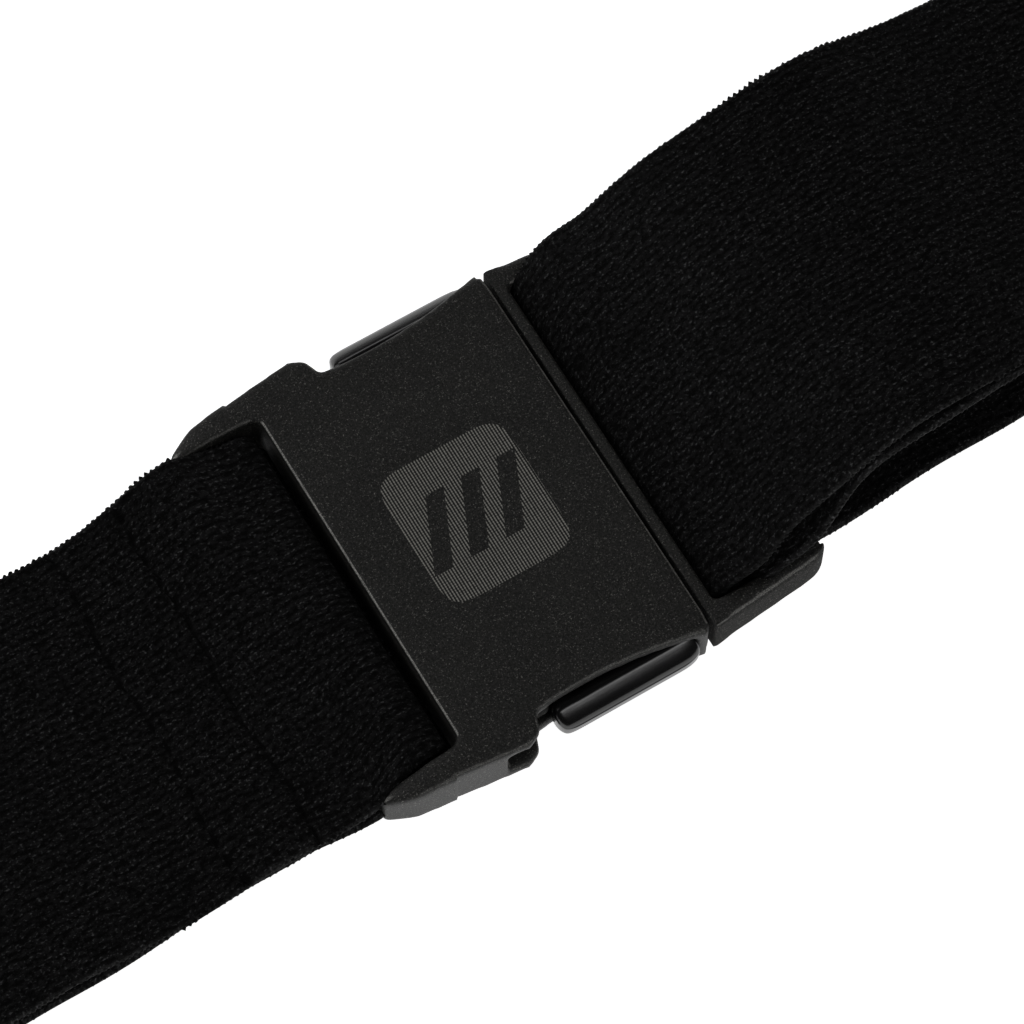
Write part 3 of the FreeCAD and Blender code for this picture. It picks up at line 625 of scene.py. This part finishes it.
beadTree = makeBeadTree()
stitchTree = makeStitchTree()


def rowAlong(name, places, tree, material, values):
    # places are in millimetres
    mesh = bpy.data.meshes.new(name)
    mesh.from_pydata([p * mm for p in places], [(n, n + 1) for n in range(len(places) - 1)], [])
    obj = addPiece(name, mesh, material)
    modifier = obj.modifiers.new("row", "NODES")
    modifier.node_group = tree
    given = {item.name: item.identifier for item in tree.interface.items_tree
             if item.item_type == "SOCKET" and item.in_out == "INPUT"}
    for label, value in {**values, "Finish": material}.items():
        modifier[given[label]] = value
    return baked(obj)


def beadsAlong(name, places, look, looseness, seed, material):
    values = {"Pitch": look["pitch"] * mm, "Size": [v * mm for v in look["size"]], "Looseness": looseness,
              "Seed": seed}
    return rowAlong(name, places, beadTree, material, values)


picot = {"pitch": 0.62, "size": (0.25, 0.22, 0.42), "out": {1: -0.06, -1: -0.15}, "looseness": 0.35}


def picotEdge(name, centre, total, side, shift, seed):
    places = []
    for n, p in enumerate(centre):
        bulge = edgeBulge(total * n / (len(centre) - 1), total, seed) * side
        reach = strap["width"] / 2 * atBar(p.x, p.y) + picot["out"][side]
        places.append(Vector((p.x, side * reach + shift(p.x, p.y) + bulge, p.y)))
    return beadsAlong(name, places, picot, picot["looseness"], seed + side, webbing)


def gently(value, start, end):
    t = ramped(value, start, end)
    return t * t * (3 - 2 * t)


skew = {"slope": 0.040, "still": -26.0, "most": 3.4, "least": -1.6, "fadeFrom": 110, "fadeTo": 185}


def backShift(x, z):
    # the back of the loop lies a little askew under the front
    lean = min(max((x - skew["still"]) * skew["slope"], skew["least"]), skew["most"])
    return lean * (1 - gently(abs(x), skew["fadeFrom"], skew["fadeTo"]))


stray = {"left": -1.3, "leftFrom": 22, "leftFull": 40, "leftFadeFrom": 60, "leftFadeTo": 120,
         "lower": 0.6, "front": 0.3, "frontFrom": 10, "frontFull": 16, "frontMore": 0.8, "moreFrom": 14,
         "moreFull": 50, "fadeFrom": 75, "fadeTo": 115, "return": -1.5, "returnAt": 25, "returnReach": 4.5}


def leftShift(x, z):
    # the sewn plies lie a little to one side left of the buckle
    here = gently(-x, stray["leftFrom"], stray["leftFull"])
    away = stray["left"] * here * (1 - gently(-x, stray["leftFadeFrom"], stray["leftFadeTo"]))
    return away if z > barZ - 0.5 else away * stray["lower"]


def frontShift(x, z):
    # the upper plies wander a little to one side past the buckle
    away = stray["front"] + stray["frontMore"] * ramped(x, stray["moreFrom"], stray["moreFull"])
    fade = 1 - gently(x, stray["fadeFrom"], stray["fadeTo"])
    return away * fade * ramped(x, stray["frontFrom"], stray["frontFull"])


def returnShift(x, z):
    # the lower ply of the arch strays the other way by the frame's end bar
    return frontShift(x, z) + stray["return"] * hump(x, stray["returnAt"], stray["returnReach"])


sewn = {"near": nodeBox("fold_stitching")[1].x - 0.25, "far": nodeBox("fold_stitching")[0].x + 0.25,
        "end": nodeBox("sewn_strap_end")[0].x, "pitch": 2.4, "depth": 0.49, "spread": 0.38,
        "even": 0.70, "nip": 0.30, "nearPhase": 0.0, "farPhase": 1.1, "step": 0.16, "sunk": 0.55,
        "turn": 0.22, "points": 43, "apart": 0.43}
frontZ = nodeBox("left_strap_rise")[0].z + halfPly
lowerZ = frontZ - 1.55
flatX = socketBarX - 12
riseEnd = nodeBox("left_upper_run")[1].x
riseStart = nodeBox("left_strap_rise")[1].x

leftRoute = [
    (sewn["end"], lowerZ), ((sewn["end"] + flatX) / 2, lowerZ),
    *eased((flatX, lowerZ), (socketBarX, barZ - wrapMid)),
    *arc(socketBarX, barZ, wrapMid, -90, 90)[1:],
    *eased((socketBarX, barZ + wrapMid), (flatX, frontZ))[1:],
    (-40, frontZ), (-52, frontZ - 0.15), *eased((riseStart, frontZ), (riseEnd, foldMid), 8),
    (-130, foldMid), (-160, foldMid), (-foldX, foldMid),
    *arc(-foldX, foldTop / 2, foldTop / 2 - halfPly, 90, 270, 14)[1:],
]


def rowWander(y, phase):
    return 0.30 * math.sin(y * 0.35 + phase * 3) + 0.14 * math.sin(y * 1.3 + phase)


def sewnGroove(x, z, y):
    # each row of stitches pulls the ply down, most where a stitch goes in, and past its end it steps down
    if z < barZ or x < sewn["far"] - 5:
        return 0.0
    dip, y = 0.0, y + leftShift(x, z)
    for place, phase in ((sewn["near"], sewn["nearPhase"]), (sewn["far"], sewn["farPhase"])):
        nip = sewn["even"] + sewn["nip"] * math.cos(2 * math.pi * (y / sewn["pitch"] + phase))
        dip += sewn["depth"] * nip * hump(x, place + rowWander(y, phase), sewn["spread"])
    return dip + sewn["step"] / (1 + math.exp((x - sewn["end"] - 0.4) / 0.35))


strapLeft, leftLength = makeStrap("strapLeft", leftRoute, 3, shift=leftShift, groove=sewnGroove)
backRoute = [(x, halfPly) for x in (-foldX, *range(-150, 151, 50), foldX)]
strapBack, backLength = makeStrap("strapBack", backRoute, 8, shift=backShift)

crestBox = nodeBox("arch_fall")
crestX, archEnd = crestBox[0].x, crestBox[1].x
crestZ = nodeBox("arch_rise")[1].z - halfPly
middleX = (plugBarX + crestX) / 2
rightRoute = [
    *arc(foldX, foldTop / 2, foldTop / 2 - halfPly, -90, 90, 14),
    (160, foldMid), (130, foldMid), (100, foldMid), (82, foldMid), (archEnd, foldMid),
    (crestX + 9, crestZ - 1.5), (crestX, crestZ), (middleX + 1.6, crestZ - 1.9),
    (middleX - 7.4, crestZ - 7.0), (plugBarX - wrapMid + 0.7, barZ + 2.6),
    *arc(plugBarX, barZ, wrapMid, 180, 360, 12),
]
strapRight, rightLength = makeStrap("strapRight", rightRoute, 5, shift=frontShift)

returnZ = nodeBox("slider_strap_upper")[0].z + halfPly
sliderBarX = bar["slider"][0].x
sliderZ = (bar["slider"][0].z + bar["slider"][1].z) / 2
sliderMid = (bar["slider"][1].z - bar["slider"][0].z) / 2 - halfPly
tailX = nodeBox("slider_strap_lower")[0].x
returnRoute = [
    (plugBarX + wrapMid, barZ), (plugBarX + wrapMid + 0.6, barZ + 2.4),
    (middleX - 6.9, crestZ - 10.7), (middleX + 1.6, crestZ - 5.2), (crestX, crestZ - 3.1),
    (crestX + 9, crestZ - 4.5), (archEnd, returnZ), (archEnd + 9, returnZ), (88, returnZ),
    (96, returnZ), (sliderBarX - 8, returnZ), *arc(sliderBarX, sliderZ, sliderMid, 90, -90, 10),
    *eased((sliderBarX, sliderZ - sliderMid), (sliderBarX - 10, returnZ - 1.8), 5)[1:],
    (tailX, returnZ - 1.8),
]
strapReturn, returnLength = makeStrap("strapReturn", returnRoute, 12, shift=returnShift)
print("straps made")


def plainMesh(node):
    mesh = nodes[node].data.copy()
    if "custom_normal" in mesh.attributes:
        mesh.attributes.remove(mesh.attributes["custom_normal"])
    bm = bmesh.new()
    bm.from_mesh(mesh)
    bmesh.ops.remove_doubles(bm, verts=bm.verts, dist=0.00001)
    bmesh.ops.dissolve_limit(bm, angle_limit=math.radians(1.0), verts=bm.verts, edges=bm.edges)
    bm.to_mesh(mesh)
    bm.free()
    return mesh


def softened(name, node, material, bevel, segments=3):
    obj = addPiece(name, plainMesh(node), material)
    rounding = obj.modifiers.new("bevel", "BEVEL")
    rounding.width = bevel * mm
    rounding.segments = segments
    rounding.limit_method = "ANGLE"
    rounding.angle_limit = math.radians(28)
    rounding.harden_normals = True
    baked(obj)
    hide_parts(node)
    print(name, len(obj.data.polygons), "faces")
    return obj


def wornMore(obj, amount, passes):
    group = obj.vertex_groups.new(name="worn")
    for vertex in obj.data.vertices:
        weight = amount(*(vertex.co / mm))
        if weight > 0.01:
            group.add([vertex.index], min(weight, 1.0), "REPLACE")
    rub = obj.modifiers.new("rub", "SMOOTH")
    rub.factor = 0.5
    rub.iterations = passes
    rub.vertex_group = "worn"
    baked(obj)
    obj.vertex_groups.clear()


def moulded(name, node, material, look, shape=None, amount=None):
    # even little faces all over, then worn smooth, so that every edge gets a moulded roundness
    obj = addPiece(name, plainMesh(node), material)
    even = obj.modifiers.new("even", "REMESH")
    even.mode = "VOXEL"
    even.voxel_size = look["grain"] * mm
    even.use_smooth_shade = True
    wear = obj.modifiers.new("wear", "SMOOTH")
    wear.factor = 0.5
    wear.iterations = look["passes"]
    baked(obj)
    if amount:
        wornMore(obj, amount, look["rubs"])
    if shape:
        for vertex in obj.data.vertices:
            vertex.co = Vector(shape(*(vertex.co / mm))) * mm
    obj.data.materials.clear()
    obj.data.materials.append(material)
    for face in obj.data.polygons:
        face.use_smooth = True
    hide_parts(node)
    print(name, len(obj.data.polygons), "faces")
    return obj


socketBox = nodeBox("buckle_socket")
plate = {"top": socketBox[1].z, "right": socketBox[1].x, "floor": socketBox[0].z, "panel": 8.3,
         "nose": 0.34, "armFrom": 15.0, "armTip": 21.4, "armDrop": 0.24, "armOut": 0.25, "armLonger": 0.55}


def socketShape(x, y, z):
    if z > plate["top"] - 0.6 and max(abs(x), abs(y)) < plate["panel"]:
        z = plate["top"] - 0.02
    tip = ramped(-x, plate["armFrom"], plate["armTip"])
    if tip > 0 and abs(y) > 18:
        z -= (z - plate["floor"]) * plate["armDrop"] * tip * tip
        y += math.copysign(plate["armOut"] * ramped(abs(y), 19.3, 20.9), y)
        x -= plate["armLonger"] * tip ** 3
    if x > plate["right"] - 1.0 and abs(y) < 21:
        x += plate["nose"] * ramped(x, plate["right"] - 1.0, plate["right"] - 0.2)
    return x, y, z


def socketWear(x, y, z):
    # the two arms are rubbed much rounder than the plate, and all the plate's outer ends a little
    arm = ramped(-x, 11.5, 14.5) * ramped(abs(y), 17.5, 19.5)
    corner = ramped(x, 9.8, 11.6) * ramped(abs(y), 19.6, 21.0)
    return max(0.75 * arm, corner, 0.30 * ramped(abs(y), 19.2, 20.5))


frameEnd = {"round": 2.1, "x": nodeBox("buckle_plug")[1].x, "y": nodeBox("buckle_plug")[1].y}


def plugShape(x, y, z):
    # the frame's two far corners are round in plan
    radius = frameEnd["round"]
    outX, outY = x - frameEnd["x"] + radius, abs(y) - frameEnd["y"] + radius
    reach = math.hypot(outX, outY)
    if outX > 0 and outY > 0 and reach > radius:
        x -= outX * (1 - radius / reach)
        y -= math.copysign(outY * (1 - radius / reach), y)
    return x, y, z


def plugWear(x, y, z):
    ends = ramped(abs(y), 18.6, 19.6) * ramped(x, 14.0, 16)
    return max(0.8 * ends, 0.20 * ramped(x, 14.5, 16.5), ramped(x, 23.5, 25) * ramped(abs(y), 18, 19))


prongBox = nodeBox("release_prong_left")
prong = {"slope": 0.60, "crease": 20.65, "proud": 0.55, "longer": 0.5, "top": prongBox[1].z - 0.6,
         "middle": (prongBox[0].z + prongBox[1].z) / 2}


def prongShape(x, y, z):
    # worn round, but as long and as proud of the side as it was made, with one broad slope outward
    y += math.copysign(prong["proud"] * ramped(abs(y), 20.0, 21.5), y)
    z -= prong["slope"] * max(0.0, abs(y) - prong["crease"]) * ramped(z, prong["middle"], prong["top"])
    x += prong["longer"] * (ramped(x, 6.0, 11.0) - ramped(-x, -3.0, 2.5))
    return x, y, z


wearing = {
    "socket": {"grain": 0.27, "passes": 4, "rubs": 34},
    "plug": {"grain": 0.27, "passes": 4, "rubs": 44},
    "prong": {"grain": 0.17, "passes": 90},
    "slider": {"grain": 0.24, "passes": 8},
}
socketBody = moulded("socketBody", "buckle_socket", socketPlastic, wearing["socket"],
                     socketShape, socketWear)
plugBody = moulded("plugBody", "buckle_plug", plainPlastic, wearing["plug"], plugShape, plugWear)
prongLeft = moulded("prongLeft", "release_prong_left", gloss, wearing["prong"], prongShape)
prongRight = moulded("prongRight", "release_prong_right", gloss, wearing["prong"], prongShape)
lengthSlider = moulded("lengthSlider", "length_slider", plainPlastic, wearing["slider"])


pocket = {"bevel": 0.18, "segments": 2, "coilEnd": 0.3, "coilPoints": 60, "seamIn": 1.2, "innerIn": 0.8,
          "innerEnd": 4, "seamUp": 0.02}
zipLook = {"sliderBevel": 0.25, "pullBevel": 0.20}


def pocketPiece(name, node, material):
    return softened(name, node, material, pocket["bevel"], pocket["segments"])


zipSlider = softened("zipSlider", "zip_slider", darkMetal, zipLook["sliderBevel"])
zipPull = softened("zipPull", "zip_pull", darkMetal, zipLook["pullBevel"])
panelLeft = pocketPiece("panelLeft", "pocket_panel_left", pocketCloth)
panelRight = pocketPiece("panelRight", "pocket_panel_right", pocketCloth)
tapeLeft = pocketPiece("tapeLeft", "zip_tape_left", tapeCloth)
tapeRight = pocketPiece("tapeRight", "zip_tape_right", tapeCloth)
stopLeft = pocketPiece("stopLeft", "zip_stop_left", darkMetal)
stopRight = pocketPiece("stopRight", "zip_stop_right", darkMetal)

coil = {"pitch": 0.72, "size": (0.24, 0.46, 0.48)}


def coilPiece(name, node):
    low, high = nodeBox(node)
    middle = (low + high) / 2
    start, count = low.x + pocket["coilEnd"], pocket["coilPoints"]
    long = high.x - low.x - 2 * pocket["coilEnd"]
    places = [Vector((start + long * n / count, middle.y, middle.z)) for n in range(count + 1)]
    obj = beadsAlong(name, places, coil, 0.0, 1, coilNylon)
    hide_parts(node)
    return obj


coilLeft = coilPiece("coilLeft", "zip_coil_left")
coilRight = coilPiece("coilRight", "zip_coil_right")

stitch = {"long": 1.6, "thick": 0.26, "seamPitch": 3.0}


def stitchesAlong(name, places, pitch, turn, seed):
    size = [stitch["long"] / 2 * mm, stitch["thick"] / 2 * mm, stitch["thick"] / 2 * mm]
    values = {"Pitch": pitch * mm, "Size": size, "Turn": turn, "Seed": seed}
    return rowAlong(name, places, stitchTree, thread, values)


def sewnRow(x, phase):
    top = frontZ + strap["thick"] / 2 - sewn["depth"] * sewn["sunk"]
    places = []
    for n in range(-sewn["points"], sewn["points"] + 1):
        y = n * sewn["apart"] + leftShift(x, top)
        places.append(Vector((x + rowWander(y, phase), y, top)))
    return places


nearRow = sewnRow(sewn["near"], sewn["nearPhase"])
farRow = sewnRow(sewn["far"], sewn["farPhase"])
sewnThread = stitchesAlong("sewnThread", nearRow, sewn["pitch"], sewn["turn"], 2)
joined(sewnThread, stitchesAlong("farRow", farRow, sewn["pitch"], sewn["turn"], 5))
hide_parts("fold_stitching")


def seamLine(node, y, end):
    low, high = nodeBox(node)
    top = high.z + pocket["seamUp"]
    return [Vector((low.x + end, y, top)), Vector((high.x - end, y, top))]


def pocketSeams(name, node, side, seed):
    # one seam along the panel's outer edge and one beside the zip
    low, high = nodeBox(node)
    near, far = sorted((abs(low.y), abs(high.y)))
    outer = seamLine(node, side * (far - pocket["seamIn"]), pocket["seamIn"])
    inner = seamLine(node, side * (near + pocket["innerIn"]), pocket["innerEnd"])
    obj = stitchesAlong(name, outer, stitch["seamPitch"], 0.0, seed)
    return joined(obj, stitchesAlong(node + "Inner", inner, stitch["seamPitch"], 0.0, 6))


seamLeft = pocketSeams("seamLeft", "pocket_panel_left", 1, 3)
seamRight = pocketSeams("seamRight", "pocket_panel_right", -1, 4)
print("pocket, zip and stitches made")

# what each piece moves with
for part in (socketBody, sewnThread, strapLeft, panelLeft, panelRight, tapeLeft, tapeRight, stopLeft,
             stopRight, coilLeft, coilRight, seamLeft, seamRight):
    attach(part, "socket_side")
for part in (plugBody, strapRight):
    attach(part, "plug_side")
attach(prongLeft, "left_prong")
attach(prongRight, "right_prong")
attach(lengthSlider, "slider_side")
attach(zipSlider, "zip_slider_body")
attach(zipPull, "zip_pull_body")
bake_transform(strapBack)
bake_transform(strapReturn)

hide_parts("socket_strap_loop", "sewn_strap_end", "front_strap_left", "left_strap_rise",
            "left_upper_run", "left_fold")
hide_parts("back_strap", "back_strap_end")
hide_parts("plug_strap_loop", "arch_rise", "arch_fall", "right_upper_run", "right_fold")
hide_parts("return_strap", "slider_strap_loop", "slider_strap_upper", "slider_strap_lower")

leftLength * mm
backLength * mm
rightLength * mm
returnLength * mm


setting = {
    "floorSize": 10.0, "paper": (0.90, 0.90, 0.90), "glow": 0.93, "world": 0.03, "aim": (0, 0, 8),
    "target": (2.99, -1.80, 8.3), "azimuth": -30.8, "elevation": 67.2, "distance": 402.5, "lens": 150,
}


def makeFloor():
    size = setting["floorSize"] / 2
    corners = [(-size, -size, 0), (size, -size, 0), (size, size, 0), (-size, size, 0)]
    mesh = bpy.data.meshes.new("floor")
    mesh.from_pydata(corners, [], [(0, 1, 2, 3)])
    m = Material("paper")
    m.shader.inputs["Emission Color"].default_value = (1, 1, 1, 1)
    m.shader.inputs["Emission Strength"].default_value = setting["glow"]
    addPiece("floor", mesh, m.finish(setting["paper"], 0.9, Specular_IOR_Level=0.1), False)


def makeWorld():
    world = bpy.data.worlds.new("studio")
    scene.world = world
    world.use_nodes = True
    background = world.node_tree.nodes["Background"]
    background.inputs["Color"].default_value = (1, 1, 1, 1)
    background.inputs["Strength"].default_value = setting["world"]


def makeLight(name, spot, size, power):
    data = bpy.data.lights.new(name, "AREA")
    data.shape = "RECTANGLE"
    data.size, data.size_y = size
    data.energy = power
    obj = bpy.data.objects.new(name, data)
    scene.collection.objects.link(obj)
    obj.location = Vector(spot) * mm
    aim = Vector(setting["aim"]) * mm - obj.location
    obj.rotation_euler = aim.to_track_quat("-Z", "Y").to_euler()


def makeCamera():
    data = bpy.data.cameras.new("camera")
    data.lens = setting["lens"]
    data.sensor_width = 36
    data.clip_start = 0.01
    camera = bpy.data.objects.new("camera", data)
    scene.collection.objects.link(camera)
    a, e = math.radians(setting["azimuth"]), math.radians(setting["elevation"])
    back = Vector((math.sin(a) * math.cos(e), -math.cos(a) * math.cos(e), math.sin(e)))
    camera.location = (Vector(setting["target"]) + back * setting["distance"]) * mm
    camera.rotation_euler = back.to_track_quat("Z", "Y").to_euler()
    scene.camera = camera


makeFloor()
makeWorld()
makeLight("overhead", (-330, 330, 560), (0.4, 0.4), 0.58)
makeLight("leftBand", (-480, 170, 260), (0.5, 0.10), 0.65)
makeLight("frontBand", (120, -360, 470), (0.45, 0.18), 0.8)
makeLight("backBand", (150, 560, 430), (0.5, 0.24), 0.65)
makeCamera()
scene.view_settings.view_transform = "Standard"
print("stage set")
